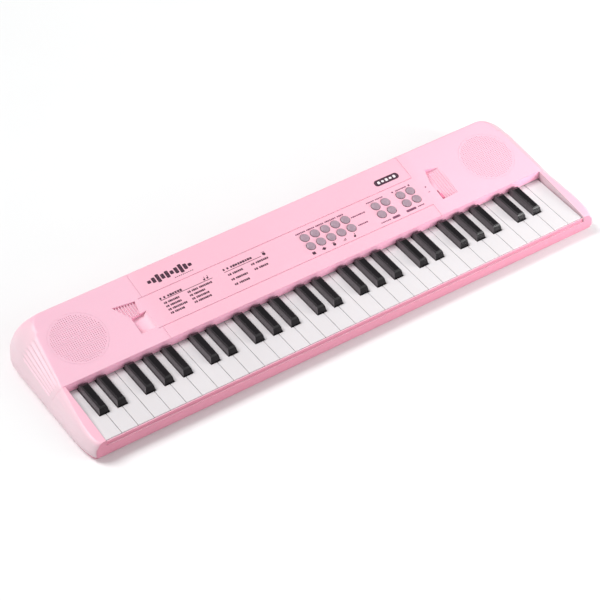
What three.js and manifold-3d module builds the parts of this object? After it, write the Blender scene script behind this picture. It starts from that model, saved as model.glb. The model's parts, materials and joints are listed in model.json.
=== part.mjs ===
// Toy electronic keyboard with 54 keys. Millimetres, +Z up, bass end towards -X, player towards -Y.
// The origin is on the table, under the middle of the keyboard's bounding box.
import * as THREE from 'three';
import { mergeVertices } from 'three/addons/utils/BufferGeometryUtils.js';
import Module from 'manifold-3d';

const wasm = await Module();
wasm.setup();

// ---------------------------------------------------------------- driving dimensions
const HALF_LENGTH = 265;
const HALF_DEPTH = 77.1;
const CASE_BOTTOM = 1.5;
const PARTING = 4.2;
const WIDEST = 8;
const WALL = 2.2;
const CLEARANCE = 0.3;
const FOOT_RADIUS = 6;

const KEY_PITCH = 15.5;
const KEY_GAP = 0.5;
const WHITE_KEYS = 32;
const KEYS_LEFT = -248;
const KEYS_RIGHT = KEYS_LEFT + WHITE_KEYS * KEY_PITCH;
const WELL_SIDE_GAP = 0.8;
const KEY_FRONT = -74;
const KEY_TOP = 19.4;
const KEY_PLATE = 4;
const KEY_LIP_BOTTOM = 10.4;
const KEY_TAIL_TOP = 16.9;
const KEY_HINGE_Y = 8.4;

const BLACK_WIDTH = 9;
const BLACK_HEIGHT = 7;
const BLACK_FRONT = -47.7;
const BLACK_REAR = -11;
const BLACK_NOSE = 3.2;
const BLACK_HINGE_Y = 16.4;
const BLACK_NOTCH_GAP = 0.6;
const BLACK_TAIL_BOTTOM = 14.8;

const HINGE_Z = 12.9;
const HINGE_ROD = 1.1;
const HINGE_NOTCH = 1.4;
const HINGE_RIB = 1.8;
const HINGE_REACH = 2;

const RAIL_TOP = 15.4;
const RAIL_INSIDE = -74.4;
const RAIL_RIB = 1;
const RAIL_RIB_TOP = 18.6;
const STRIP_FRONT_Z = 21;
const STRIP_REAR_Z = 28.4;
const STRIP_CURVE = 1.1;
const FASCIA_Y = -10.1;
const FASCIA_WALL = 2;
const FASCIA_BOTTOM = KEY_TOP + 0.6;
const FASCIA_TOP = 28.6;
const RIDGE_Y = 61.6;
const RIDGE_TOP = 45.2;
const PANEL_FRONT_HALF = 251.5;
const PANEL_REAR_HALF = 242;
const SIDE_LEAN = 2.1;
const REAR_LEAN = 2;

const GROOVE_WIDTH = 0.6;
const GROOVE_DEPTH = 0.4;
const CONTROL_LEFT = -145.7;
const CONTROL_RIGHT = 138.6;
const GROOVE_FRONT_Y = 3.7;
const GROOVE_REAR_Y = 38.1;

const BUTTON_RADIUS = 4.1;
const BUTTON_HOLE = 4.5;
const BUTTON_ROWS_Y = [26.2, 16];
const BUTTON_STEP = 10.85;
const BUTTON_GROUPS = [
  { name: 'tone_button_pad', firstX: 14.3, columns: 5 },
  { name: 'rhythm_button_pad', firstX: 90.7, columns: 2 },
  { name: 'volume_button_pad', firstX: 118, columns: 2 },
];

const SPEAKER_X = 215;
const SPEAKER_Y = 26.8;
const GRILLE_RADIUS = 26;
const GRILLE_THICKNESS = 1.2;
const SPEAKER_RADIUS = 25;

const SWITCH_X = 153.2;
const SWITCH_Y = 9.5;
const SOCKET_Z = 14;
const SOCKET_FRONT = 50;
const POWER_SOCKET_X = 186;
const MICROPHONE_JACK_X = 206;

const BAY = { half: 31, front: 24, rear: 68, top: 18.6, wall: 5 };

const SLOPE = Math.atan2(RIDGE_TOP - FASCIA_TOP, RIDGE_Y - FASCIA_Y);

// ---------------------------------------------------------------- materials
function plastic(colour, roughness) {
  return { color: colour, roughness, metalness: 0 };
}
const PINK = plastic(0xf7bfd3, 0.42);
const PINK_DARK = plastic(0xe89ab6, 0.5);
const IVORY = plastic(0xf3f1f0, 0.3);
const EBONY = plastic(0x17151a, 0.18);
const SILICONE = plastic(0xa98d9c, 0.6);
const BOARD = plastic(0x2f6b3c, 0.5);
const MAT = plastic(0x8d8f96, 0.7);
const BLACK_PLASTIC = plastic(0x222226, 0.45);
const SPEAKER_BLACK = plastic(0x2b2b2e, 0.6);
const STEEL = { color: 0xb9bcc0, roughness: 0.3, metalness: 1 };

// ---------------------------------------------------------------- solids
function toSolid(geometry) {
  const bare = geometry.clone();
  bare.deleteAttribute('normal');
  bare.deleteAttribute('uv');
  const merged = mergeVertices(bare, 1e-4);
  return new wasm.Manifold(new wasm.Mesh({
    numProp: 3,
    vertProperties: new Float32Array(merged.attributes.position.array),
    triVerts: new Uint32Array(merged.index.array),
  }));
}

function toGeometry(solid) {
  const mesh = solid.getMesh();
  const geometry = new THREE.BufferGeometry();
  geometry.setAttribute('position', new THREE.BufferAttribute(new Float32Array(mesh.vertProperties), 3));
  geometry.setIndex(new THREE.BufferAttribute(new Uint32Array(mesh.triVerts), 1));
  const flat = geometry.toNonIndexed();
  flat.computeVertexNormals();
  return flat;
}

function box(x0, x1, y0, y1, z0, z1) {
  const geometry = new THREE.BoxGeometry(x1 - x0, y1 - y0, z1 - z0);
  geometry.translate((x0 + x1) / 2, (y0 + y1) / 2, (z0 + z1) / 2);
  return toSolid(geometry);
}

function shapeOf(points) {
  return new THREE.Shape(points.map(([u, v]) => new THREE.Vector2(u, v)));
}

// A YZ outline extruded along X.
function prismAlongX(points, x0, x1) {
  const geometry = new THREE.ExtrudeGeometry(shapeOf(points), { depth: x1 - x0, bevelEnabled: false });
  geometry.applyMatrix4(new THREE.Matrix4().set(0, 0, 1, x0, 1, 0, 0, 0, 0, 1, 0, 0, 0, 0, 0, 1));
  return toSolid(geometry);
}

// An XZ outline extruded along Y.
function prismAlongY(points, y0, y1) {
  const geometry = new THREE.ExtrudeGeometry(shapeOf(points), { depth: y1 - y0, bevelEnabled: false });
  geometry.applyMatrix4(new THREE.Matrix4().set(1, 0, 0, 0, 0, 0, -1, y1, 0, 1, 0, 0, 0, 0, 0, 1));
  return toSolid(geometry);
}

// An XY outline extruded up Z.
function prismAlongZ(points, z0, z1) {
  const geometry = new THREE.ExtrudeGeometry(shapeOf(points), { depth: z1 - z0, bevelEnabled: false });
  geometry.translate(0, 0, z0);
  return toSolid(geometry);
}

function discAlongZ(x, y, radius, z0, z1, sides = 20) {
  const geometry = new THREE.CylinderGeometry(radius, radius, z1 - z0, sides);
  geometry.rotateX(Math.PI / 2);
  geometry.translate(x, y, (z0 + z1) / 2);
  return toSolid(geometry);
}

function discAlongX(y, z, radius, x0, x1, sides = 12) {
  const geometry = new THREE.CylinderGeometry(radius, radius, x1 - x0, sides);
  geometry.rotateZ(Math.PI / 2);
  geometry.translate((x0 + x1) / 2, y, z);
  return toSolid(geometry);
}

function discAlongY(x, z, radius, y0, y1, sides = 20) {
  const geometry = new THREE.CylinderGeometry(radius, radius, y1 - y0, sides);
  geometry.translate(x, (y0 + y1) / 2, z);
  return toSolid(geometry);
}

// A closed (radius, height) profile turned about Z.
function turned(profile, x, y, sides = 24) {
  const points = profile.map(([radius, height]) => new THREE.Vector2(radius, height));
  const geometry = new THREE.LatheGeometry([...points, points[0].clone()], sides);
  geometry.rotateX(Math.PI / 2);
  geometry.translate(x, y, 0);
  return toSolid(geometry);
}

function united(solids) {
  return solids.reduce((all, one) => all.add(one));
}

function cut(solid, cutters) {
  return cutters.reduce((left, cutter) => left.subtract(cutter), solid);
}

// Rings of equal length stacked from the bottom up. Each end is closed by straight bands
// across the ring, the first of them along the edge that follows point number `seam`.
function loft(rings, seam) {
  const count = rings[0].length;
  const positions = rings.flat().flatMap((point) => [point.x, point.y, point.z]);
  const index = [];
  for (let ring = 0; ring < rings.length - 1; ring += 1) {
    for (let i = 0; i < count; i += 1) {
      const a = ring * count + i;
      const b = ring * count + (i + 1) % count;
      index.push(a, b, b + count, a, b + count, a + count);
    }
  }
  const top = (rings.length - 1) * count;
  for (let step = 0; step < count / 2 - 1; step += 1) {
    const [right, nextRight] = [seam - step, seam - step - 1].map((i) => (i + count) % count);
    const [left, nextLeft] = [seam + step + 1, seam + step + 2].map((i) => i % count);
    index.push(right, nextRight, nextLeft, right, nextLeft, left);
    index.push(top + right, top + nextLeft, top + nextRight, top + right, top + left, top + nextLeft);
  }
  const geometry = new THREE.BufferGeometry();
  geometry.setAttribute('position', new THREE.Float32BufferAttribute(positions, 3));
  geometry.setIndex(index);
  return toSolid(geometry);
}

// ---------------------------------------------------------------- heights of the sloping tops
function panelZ(y) {
  return FASCIA_TOP + (y - FASCIA_Y) * Math.tan(SLOPE);
}

// How far back a point of the key deck lies: 0 at its front, 1 at the fascia.
function deckDepth(y) {
  return Math.min(Math.max((y + HALF_DEPTH) / (FASCIA_Y + HALF_DEPTH), 0), 1);
}

// The strips beside the keys climb from just above the keys to the front edge of the panel.
function stripZ(y) {
  return STRIP_REAR_Z - (STRIP_REAR_Z - STRIP_FRONT_Z) * (1 - deckDepth(y)) ** STRIP_CURVE;
}

// Pieces built flat, with Z = 0 as the panel's face, are laid onto the sloping panel.
const ONTO_PANEL = new THREE.Matrix4()
  .makeTranslation(0, FASCIA_Y, FASCIA_TOP)
  .multiply(new THREE.Matrix4().makeRotationX(SLOPE))
  .multiply(new THREE.Matrix4().makeTranslation(0, -FASCIA_Y, 0));

function ontoPanel(solid) {
  return solid.transform(ONTO_PANEL.toArray());
}

// ---------------------------------------------------------------- case outlines
const CORNER_STEPS = 6;
const FRONT_CORNER = { x: 7.2, y: 33 };
const REAR_CORNER = { x: 18, y: 30 };
const SMALL_CORNER = { x: 0.6, y: 0.8 };

// Counter-clockwise plan outline; each corner is an arc with its own radii.
function outline(halfFront, halfRear, front, rear, frontCorner, rearCorner) {
  const corners = [
    { x: halfRear, y: rear, radii: rearCorner, sx: 1, sy: 1 },
    { x: halfRear, y: rear, radii: rearCorner, sx: -1, sy: 1 },
    { x: halfFront, y: front, radii: frontCorner, sx: -1, sy: -1 },
    { x: halfFront, y: front, radii: frontCorner, sx: 1, sy: -1 },
  ];
  const points = [];
  corners.forEach((corner, quarter) => {
    for (let step = 0; step <= CORNER_STEPS; step += 1) {
      const angle = (quarter + step / CORNER_STEPS) * Math.PI / 2;
      points.push([
        corner.sx * (corner.x - corner.radii.x) + corner.radii.x * Math.cos(angle),
        corner.y - corner.sy * corner.radii.y + corner.radii.y * Math.sin(angle),
      ]);
    }
  });
  return points;
}

function shrunk(corner, inset) {
  return { x: Math.max(corner.x - inset, 0.8), y: Math.max(corner.y - inset, 0.8) };
}

function flatRing(inset, z) {
  const points = outline(
    HALF_LENGTH - inset, HALF_LENGTH - inset, -HALF_DEPTH + inset, HALF_DEPTH - inset,
    shrunk(FRONT_CORNER, inset), shrunk(REAR_CORNER, inset),
  );
  return points.map(([x, y]) => new THREE.Vector3(x, y, z));
}

// Inset of the low belt of the case at each height.
const BELT = [[PARTING, 1.5], [WIDEST, 0]];

// The key deck: the low front part. At its front the ends have a rounded shoulder; towards
// the fascia they turn into the leaning ends of the housing.
const DECK_SHOULDER = [[0, 0], [0.25, 0.2], [0.5, 0.6], [0.72, 1.5], [0.88, 3], [0.97, 5], [1, 6.5]];

function deckSolid(inset) {
  const rings = BELT.map(([z, belt]) => deckRing(0, belt, z, inset));
  DECK_SHOULDER.slice(1).forEach(([t, side]) => rings.push(deckRing(t, side, null, inset)));
  return loft(rings, CORNER_STEPS);
}

function deckRing(t, side, fixedZ, inset) {
  const half = HALF_LENGTH - side - inset;
  const front = -HALF_DEPTH + inset + side * (fixedZ === null ? 0.09 : 1);
  const rearSide = fixedZ === null ? (HALF_LENGTH - PANEL_FRONT_HALF) * t ** SIDE_LEAN : side;
  const points = outline(half, half, front, FASCIA_Y + 3, FRONT_CORNER, SMALL_CORNER);
  return points.map(([x, y]) => {
    const top = stripZ(y) - inset;
    const lean = (rearSide - side) * deckDepth(y);
    return new THREE.Vector3(x - Math.sign(x) * lean, y, fixedZ ?? WIDEST + t * (top - WIDEST));
  });
}

// The housing behind the keys. Its battered ends carry five fine ribs.
const RIBS = 5;
const RIB_LOW = 0.5;
const RIB_HIGH = 0.95;
const RIB_DEPTH = 0.8;
const RIB_ENDS = [-5, -3, 41, 45];

function housingProfile(withRibs) {
  const rows = [[0, false], [0.25, false]];
  if (!withRibs) {
    return [...rows, [0.6, false], [0.97, false], [1, false]];
  }
  const step = (RIB_HIGH - RIB_LOW) / RIBS;
  for (let rib = 0; rib < RIBS; rib += 1) {
    const start = RIB_LOW + rib * step;
    rows.push([start, false], [start + step * 0.25, true], [start + step * 0.5, true], [start + step * 0.75, false]);
  }
  return [...rows, [0.97, false], [1, false]];
}

function housingSolid(inset, withRibs) {
  const rings = BELT.slice(0, 1).map(([z, belt]) => housingRing(0, false, inset, z, belt));
  housingProfile(withRibs).forEach(([t, grooved]) => rings.push(housingRing(t, grooved, inset, null, 0)));
  return loft(rings, CORNER_STEPS);
}

function housingRing(t, grooved, inset, fixedZ, belt) {
  const edge = t === 1 ? 0.9 : 0;
  const lean = t ** SIDE_LEAN;
  const frontHalf = HALF_LENGTH - (HALF_LENGTH - PANEL_FRONT_HALF) * lean - inset - belt - edge;
  const rearHalf = HALF_LENGTH - (HALF_LENGTH - PANEL_REAR_HALF) * lean - inset - belt - edge;
  const rear = HALF_DEPTH - (HALF_DEPTH - RIDGE_Y - 1.5) * t ** REAR_LEAN - inset - belt - edge * 1.6;
  const front = FASCIA_Y + (inset > 0 ? FASCIA_WALL : 0);
  const corner = { x: REAR_CORNER.x - 6 * t - inset, y: REAR_CORNER.y - 14 * t - inset };
  const points = outline(frontHalf, rearHalf, front, rear, SMALL_CORNER, corner);
  const ring = withSidePoints(points, frontHalf, rearHalf, front, rear);
  return ring.map(([x, y, inBand]) => {
    const top = panelZ(y) - inset;
    const groove = grooved && inBand ? RIB_DEPTH : 0;
    return new THREE.Vector3(x - Math.sign(x) * groove, y, fixedZ ?? WIDEST + t * (top - WIDEST));
  });
}

// Extra points along both ends mark where the ribs start and stop.
function withSidePoints(points, frontHalf, rearHalf, front, rear) {
  const quarter = CORNER_STEPS + 1;
  const sideX = (y) => frontHalf + (rearHalf - frontHalf) * (y - front) / (rear - front);
  const band = RIB_ENDS.map((y, i) => [sideX(y), y, i === 1 || i === 2]);
  const plain = points.map(([x, y]) => [x, y, false]);
  const left = [...band].reverse().map(([x, y, inBand]) => [-x, y, inBand]);
  return [...plain.slice(0, 2 * quarter), ...left, ...plain.slice(2 * quarter), ...band];
}

// ---------------------------------------------------------------- upper case
function grooveAlongX(x0, x1, y) {
  return box(x0, x1, y - GROOVE_WIDTH / 2, y + GROOVE_WIDTH / 2, -GROOVE_DEPTH, 1);
}

function grooveAlongY(x, y0, y1) {
  return box(x - GROOVE_WIDTH / 2, x + GROOVE_WIDTH / 2, y0, y1, -GROOVE_DEPTH, 1);
}

function panelGrooves() {
  const cutters = [
    grooveAlongX(CONTROL_LEFT - 4, CONTROL_RIGHT, GROOVE_REAR_Y),
    grooveAlongX(CONTROL_LEFT - 4, CONTROL_RIGHT, GROOVE_FRONT_Y),
  ];
  [CONTROL_LEFT, CONTROL_RIGHT].forEach((x) => {
    cutters.push(grooveAlongY(x, GROOVE_REAR_Y, RIDGE_Y + 6));
    cutters.push(grooveAlongY(x, FASCIA_Y - 2, GROOVE_FRONT_Y));
  });
  return cutters;
}

// The left finger recess: a smooth scoop with a ribbed ramp behind it.
function leftRecess() {
  const section = [[-165.3, 1], [-165.3, -5], [-162.8, -5.6], [-154.5, -4.2], [-148.3, 1]];
  const scoop = prismAlongY(section, 5.6, 24.3);
  const ramp = prismAlongZ([[-165.3, 24], [-156, 24], [-153.5, 37.5], [-174.5, 40]], -2.2, 1);
  const ridges = [];
  for (let x = -172; x < -154; x += 2.6) {
    ridges.push(box(x, x + 1.1, 24.6, 41, -3, -1.1));
  }
  return [scoop, cut(ramp, ridges)];
}

// The right finger recess: a ribbed ramp that drops to the slot of the power switch.
function rightRecess() {
  const plan = prismAlongZ([[150.5, 4.6], [167, 5.2], [168.5, 36.5], [154.5, 40], [150.5, 25.5]], -8, 1);
  const ramp = prismAlongY([[150.5, 1], [150.5, -5], [155.5, -4.4], [169.5, 0.4], [169.5, 1]], 2, 42);
  const ridges = [];
  for (let x = 157; x < 166; x += 2.2) {
    ridges.push(box(x, x + 0.9, 6.5, 36, -8, (x - 169.5) * 0.343 + 1));
  }
  const slot = box(SWITCH_X - 1.5, SWITCH_X + 1.5, SWITCH_Y - 3.3, SWITCH_Y + 8.3, -12, 0);
  return [cut(plan.intersect(ramp), ridges), slot];
}

function recessBackings() {
  return [
    box(-167.5, -146, 3.5, 26.5, -8, -1),
    box(-177, -151, 22, 42, -4.4, -1),
    box(148.5, 171.5, 2.5, 42, -7.4, -1),
  ];
}

function buttonPlaces(group) {
  return BUTTON_ROWS_Y.flatMap((y) => (
    Array.from({ length: group.columns }, (_, i) => ({ x: group.firstX + i * BUTTON_STEP, y }))
  ));
}

function grilleSeat(side) {
  return [
    discAlongZ(side * SPEAKER_X, SPEAKER_Y, GRILLE_RADIUS + CLEARANCE, -1.5, 1, 40),
    discAlongZ(side * SPEAKER_X, SPEAKER_Y, GRILLE_RADIUS - 1.8, -5, 0, 40),
  ];
}

function keyWell() {
  const left = KEYS_LEFT - WELL_SIDE_GAP;
  const right = KEYS_RIGHT + WELL_SIDE_GAP;
  return [
    box(left, right, RAIL_INSIDE, FASCIA_Y, 0, 60),
    box(left, right, RAIL_INSIDE - RAIL_RIB, RAIL_INSIDE + 0.1, RAIL_RIB_TOP, 60),
    box(left, right, -HALF_DEPTH - 1, RAIL_INSIDE - RAIL_RIB, RAIL_TOP, 60),
    box(left, right, FASCIA_Y - 0.1, FASCIA_Y + FASCIA_WALL + 0.1, 0, FASCIA_BOTTOM),
  ];
}

function deckHollow() {
  const hollow = deckSolid(WALL);
  return [
    hollow.intersect(box(-300, KEYS_LEFT - WELL_SIDE_GAP - WALL, -200, 200, 0, 60)),
    hollow.intersect(box(KEYS_RIGHT + WELL_SIDE_GAP + WALL, 300, -200, 200, 0, 60)),
  ];
}

// A shelf behind the fascia whose lip keeps the white keys' tails on their hinge rod.
function holdDown() {
  const section = [[-9, 20.2], [3.4, 20.2], [3.4, 17.3], [5.4, 17.3], [5.4, 22.2], [-9, 22.2]];
  return prismAlongX(section, KEYS_LEFT, KEYS_RIGHT);
}

function upperCase() {
  const shell = cut(deckSolid(0).add(housingSolid(0, true)), [...deckHollow(), housingSolid(WALL, false)]);
  const backed = united([shell, ...recessBackings().map(ontoPanel)]);
  const holes = BUTTON_GROUPS.flatMap(buttonPlaces).map(({ x, y }) => discAlongZ(x, y, BUTTON_HOLE, -5, 1, 16));
  const onPanel = [
    ...panelGrooves(), ...leftRecess(), ...rightRecess(), ...holes, ...grilleSeat(-1), ...grilleSeat(1),
  ];
  const sockets = [POWER_SOCKET_X, MICROPHONE_JACK_X].map((x) => discAlongY(x, SOCKET_Z, 4.7, 62, 82));
  return cut(backed.add(holdDown()), [...keyWell(), ...onPanel.map(ontoPanel), ...sockets]);
}

// ---------------------------------------------------------------- lower case
function lowerShell() {
  const outer = loft([flatRing(5, CASE_BOTTOM), flatRing(2.8, 2.4), flatRing(1.6, PARTING - CLEARANCE)], CORNER_STEPS);
  const inner = loft([flatRing(6.5, 3.5), flatRing(6.5, 6)], CORNER_STEPS);
  return outer.subtract(inner);
}

// A thin rib topped by the round rod that a row of keys turns on.
function hingeRod(y) {
  const rib = box(KEYS_LEFT, KEYS_RIGHT, y - HINGE_RIB / 2, y + HINGE_RIB / 2, 3, HINGE_Z);
  return rib.add(discAlongX(y, HINGE_Z, HINGE_ROD, KEYS_LEFT, KEYS_RIGHT));
}

function lowerCase() {
  const wall = BAY.wall;
  const bayBlock = box(-BAY.half - wall, BAY.half + wall, BAY.front - wall, BAY.rear + 2, CASE_BOTTOM, BAY.top + 2);
  const posts = [[-255, -66], [255, -66], [-238, 45], [238, 45]].map(([x, y]) => discAlongZ(x, y, 3.2, 3, 13));
  const supports = [
    hingeRod(KEY_HINGE_Y),
    hingeRod(BLACK_HINGE_Y),
    box(KEYS_LEFT, KEYS_RIGHT, -43, -41, 3, 5.2),
    box(KEYS_LEFT, KEYS_RIGHT, -17, -15, 3, 5.2),
    box(-128, -126, 23, 59, 3, 11.7),
    box(-54, -52, 23, 59, 3, 11.7),
    box(POWER_SOCKET_X - 1, POWER_SOCKET_X + 1, 52, 62, 3, SOCKET_Z - 5.3),
    box(MICROPHONE_JACK_X - 1, MICROPHONE_JACK_X + 1, 52, 62, 3, SOCKET_Z - 5.3),
  ];
  const feet = [[-235, -60], [235, -60], [-235, 57], [235, 57]].map(([x, y]) => (
    discAlongZ(x, y, FOOT_RADIUS, 0, CASE_BOTTOM + 1)
  ));
  return cut(united([lowerShell(), bayBlock, ...posts, ...supports, ...feet]), [
    box(-BAY.half, BAY.half, BAY.front, BAY.rear, 0, BAY.top),
    box(-BAY.half - 2.3, BAY.half + 2.3, BAY.front - 2.3, 100, 0, 3.6),
  ]);
}

function batteryCover() {
  const plate = box(-BAY.half - 2, BAY.half + 2, BAY.front - 2, HALF_DEPTH - 3.4, CASE_BOTTOM, 3.3);
  const grips = [62, 65, 68].map((y) => box(-12, 12, y, y + 1.2, 0, CASE_BOTTOM + 0.7));
  return cut(plate, grips);
}

// Sheet-metal strip with a wire spring, on the left wall of the battery bay.
function batterySpring() {
  const strip = box(-BAY.half + CLEARANCE, -BAY.half + 0.8, 26, 52, 5, 15.5);
  const turns = 3;
  const points = Array.from({ length: turns * 12 + 1 }, (_, i) => {
    const radius = 4.5 - 2 * i / (turns * 12);
    const angle = i * Math.PI / 6;
    const x = -BAY.half + 0.9 + 5.5 * i / (turns * 12);
    return new THREE.Vector3(x, 32 + radius * Math.cos(angle), 10.2 + radius * Math.sin(angle));
  });
  const wire = shapeOf(Array.from({ length: 6 }, (_, i) => (
    [0.45 * Math.cos(i * Math.PI / 3), 0.45 * Math.sin(i * Math.PI / 3)]
  )));
  const path = new THREE.CatmullRomCurve3(points);
  const coil = new THREE.ExtrudeGeometry(wire, { steps: turns * 12, bevelEnabled: false, extrudePath: path });
  return united([strip, toSolid(coil)]);
}

function batteryPlate() {
  const strip = box(BAY.half - 0.8, BAY.half - CLEARANCE, 26, 52, 5, 15.5);
  const boss = box(BAY.half - 1.8, BAY.half - 0.7, 29, 35, 7.2, 13.2);
  return strip.add(boss);
}

// ---------------------------------------------------------------- keys
// Each white note with a black key on its left or right.
const NOTES = ['c', 'd', 'e', 'f', 'g', 'a', 'b'];
const BLACK_AFTER = { c: -0.06, d: 0.06, f: -0.18, g: 0, a: 0.18 };

const WHITES = Array.from({ length: WHITE_KEYS }, (_, i) => ({
  note: NOTES[i % 7],
  octave: Math.floor(i / 7) + 1,
  left: KEYS_LEFT + i * KEY_PITCH,
}));

const BLACKS = WHITES.slice(0, -1)
  .filter(({ note }) => note in BLACK_AFTER)
  .map(({ note, octave, left }) => ({
    octave,
    comb: 'cd'.includes(note) ? 'pair' : 'trio',
    x: left + KEY_PITCH * (1 + BLACK_AFTER[note]),
  }));

// The side of a white key, with its front lip, contact plunger and hinge tail.
const WHITE_SIDE = [
  [KEY_FRONT, KEY_TOP], [KEY_FRONT, KEY_LIP_BOTTOM], [KEY_FRONT + 2, KEY_LIP_BOTTOM],
  [KEY_FRONT + 2, KEY_TOP - KEY_PLATE], [-36, KEY_TOP - KEY_PLATE], [-36, 12.1], [-32, 12.1],
  [-32, KEY_TOP - KEY_PLATE], [-6, KEY_TOP - KEY_PLATE], [-3, HINGE_Z],
  [KEY_HINGE_Y + HINGE_REACH, HINGE_Z], [KEY_HINGE_Y + HINGE_REACH, KEY_TAIL_TOP],
  [-7, KEY_TAIL_TOP], [-7.5, KEY_TOP],
];

function hingeNotch(y, x0, x1) {
  return discAlongX(y, HINGE_Z, HINGE_NOTCH, x0 - 1, x1 + 1);
}

function whiteKey(left) {
  const right = left + KEY_PITCH;
  const blank = prismAlongX(WHITE_SIDE, left + KEY_GAP / 2, right - KEY_GAP / 2);
  const reach = BLACK_WIDTH / 2 + BLACK_NOTCH_GAP;
  const notches = BLACKS
    .filter(({ x }) => x > left - reach && x < right + reach)
    .map(({ x }) => box(x - reach, x + reach, BLACK_FRONT - BLACK_NOTCH_GAP, 50, 0, 60));
  return cut(blank, [...notches, hingeNotch(KEY_HINGE_Y, left, right)]);
}

// A black key: straight lower sides, bevelled top edges and a long sloping nose.
function blackBody(x) {
  const half = BLACK_WIDTH / 2;
  const top = KEY_TOP + BLACK_HEIGHT;
  const rows = [
    { z: 15, side: 0, nose: 0, rear: 0 },
    { z: KEY_TOP + 0.8, side: 0, nose: 0.3, rear: 0 },
    { z: top - 2.4, side: 0.4, nose: BLACK_NOSE - 1.9, rear: 0.8 },
    { z: top - 1.1, side: 0.7, nose: BLACK_NOSE - 1, rear: 2.4 },
    { z: top, side: 1.7, nose: BLACK_NOSE, rear: 5.2 },
  ];
  return loft(rows.map(({ z, side, nose, rear }) => {
    const slant = side * 0.35;
    return [
      new THREE.Vector3(x + half - side, BLACK_REAR - rear, z),
      new THREE.Vector3(x - half + side, BLACK_REAR - rear, z),
      new THREE.Vector3(x - half + side + slant, BLACK_FRONT + nose, z),
      new THREE.Vector3(x + half - side - slant, BLACK_FRONT + nose, z),
    ];
  }), 0);
}

function blackComb(keys) {
  const first = keys[0].x;
  const last = keys[keys.length - 1].x;
  const bodies = keys.map(({ x }) => blackBody(x));
  const tails = keys.map(({ x }) => (
    box(x - 3, x + 3, BLACK_REAR - 6, BLACK_HINGE_Y - 1, BLACK_TAIL_BOTTOM, KEY_TAIL_TOP)
  ));
  const barFront = BLACK_HINGE_Y - HINGE_REACH;
  const barRear = BLACK_HINGE_Y + HINGE_REACH;
  const bar = box(first - 3.4, last + 3.4, barFront, barRear, HINGE_Z, KEY_TAIL_TOP + 0.2);
  return cut(united([...bodies, ...tails, bar]), [hingeNotch(BLACK_HINGE_Y, first - 3.4, last + 3.4)]);
}

// ---------------------------------------------------------------- buttons and boards under the panel
const PAD_TOP = -3;
const PAD_BOTTOM = -4.2;

function buttonDome({ x, y }) {
  const profile = [
    [0, PAD_TOP - 0.5], [BUTTON_RADIUS, PAD_TOP - 0.5], [BUTTON_RADIUS, 0.6],
    [BUTTON_RADIUS - 0.7, 1.2], [BUTTON_RADIUS - 2.2, 1.6], [0, 1.75],
  ];
  return turned(profile, x, y, 16);
}

function buttonPad(group) {
  const places = buttonPlaces(group);
  const margin = BUTTON_RADIUS + 0.9;
  const x0 = group.firstX - margin;
  const x1 = group.firstX + (group.columns - 1) * BUTTON_STEP + margin;
  const sheet = box(x0, x1, BUTTON_ROWS_Y[1] - margin, BUTTON_ROWS_Y[0] + margin, PAD_BOTTOM, PAD_TOP);
  return ontoPanel(united([sheet, ...places.map(buttonDome)]));
}

function buttonBoard() {
  return ontoPanel(box(4, 137, 8, 35, -7.4, -5.8));
}

function keyContactBoard() {
  return box(KEYS_LEFT, KEYS_RIGHT, -44, -14, 5.5, 7.1);
}

function keyContactMat() {
  const sheet = box(KEYS_LEFT + 1, KEYS_RIGHT - 1, -38, -29, 7.4, 8.2);
  const ridge = box(KEYS_LEFT + 2, KEYS_RIGHT - 2, -36, -32, 7.8, 9.8);
  return sheet.add(ridge);
}

function mainBoard() {
  const plate = box(-130, -50, 22, 60, 12, 13.6);
  const chip = box(-104, -92, 34, 46, 13.2, 15.6);
  const capacitor = discAlongZ(-70, 32, 4, 13.2, 22, 16);
  return united([plate, chip, capacitor]);
}

// ---------------------------------------------------------------- speakers, switch and sockets
function speaker(side) {
  const profile = [
    [0, -18], [11, -18], [11, -12], [SPEAKER_RADIUS - 2, -6], [SPEAKER_RADIUS, -6],
    [SPEAKER_RADIUS, -3], [SPEAKER_RADIUS - 3, -3], [8, -8], [0, -7],
  ];
  return ontoPanel(turned(profile, side * SPEAKER_X, SPEAKER_Y, 28));
}

function grille(side) {
  const x = side * SPEAKER_X;
  const plate = discAlongZ(x, SPEAKER_Y, GRILLE_RADIUS, -GRILLE_THICKNESS, 0, 40);
  const holes = [];
  for (let ring = 0; ring <= 2; ring += 1) {
    const count = Math.max(ring * 6, 1);
    for (let i = 0; i < count; i += 1) {
      const angle = i * 2 * Math.PI / count;
      const reach = ring * 8.5;
      holes.push(discAlongZ(x + reach * Math.cos(angle), SPEAKER_Y + reach * Math.sin(angle), 1.6, -3, 1, 6));
    }
  }
  return ontoPanel(cut(plate, holes));
}

function powerSwitchKnob() {
  const stem = box(SWITCH_X - 1.1, SWITCH_X + 1.1, SWITCH_Y - 3, SWITCH_Y + 3, -9.5, -1.6);
  const foot = box(SWITCH_X - 2.6, SWITCH_X + 2.6, SWITCH_Y - 5, SWITCH_Y + 5, -9.5, -7.9);
  return ontoPanel(stem.add(foot));
}

function socket(x, bore) {
  const body = box(x - 5, x + 5, SOCKET_FRONT, SOCKET_FRONT + 14, SOCKET_Z - 5, SOCKET_Z + 5);
  const nose = discAlongY(x, SOCKET_Z, 4.3, SOCKET_FRONT + 12, SOCKET_FRONT + 26.2, 24);
  return cut(body.add(nose), [discAlongY(x, SOCKET_Z, bore, SOCKET_FRONT + 6, SOCKET_FRONT + 32, 20)]);
}

// ---------------------------------------------------------------- assembly
const keyboard = new THREE.Group();
keyboard.name = 'toy_keyboard';

function place(name, solid, look) {
  const mesh = new THREE.Mesh(toGeometry(solid), new THREE.MeshStandardMaterial(look));
  mesh.name = name;
  keyboard.add(mesh);
}

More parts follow.
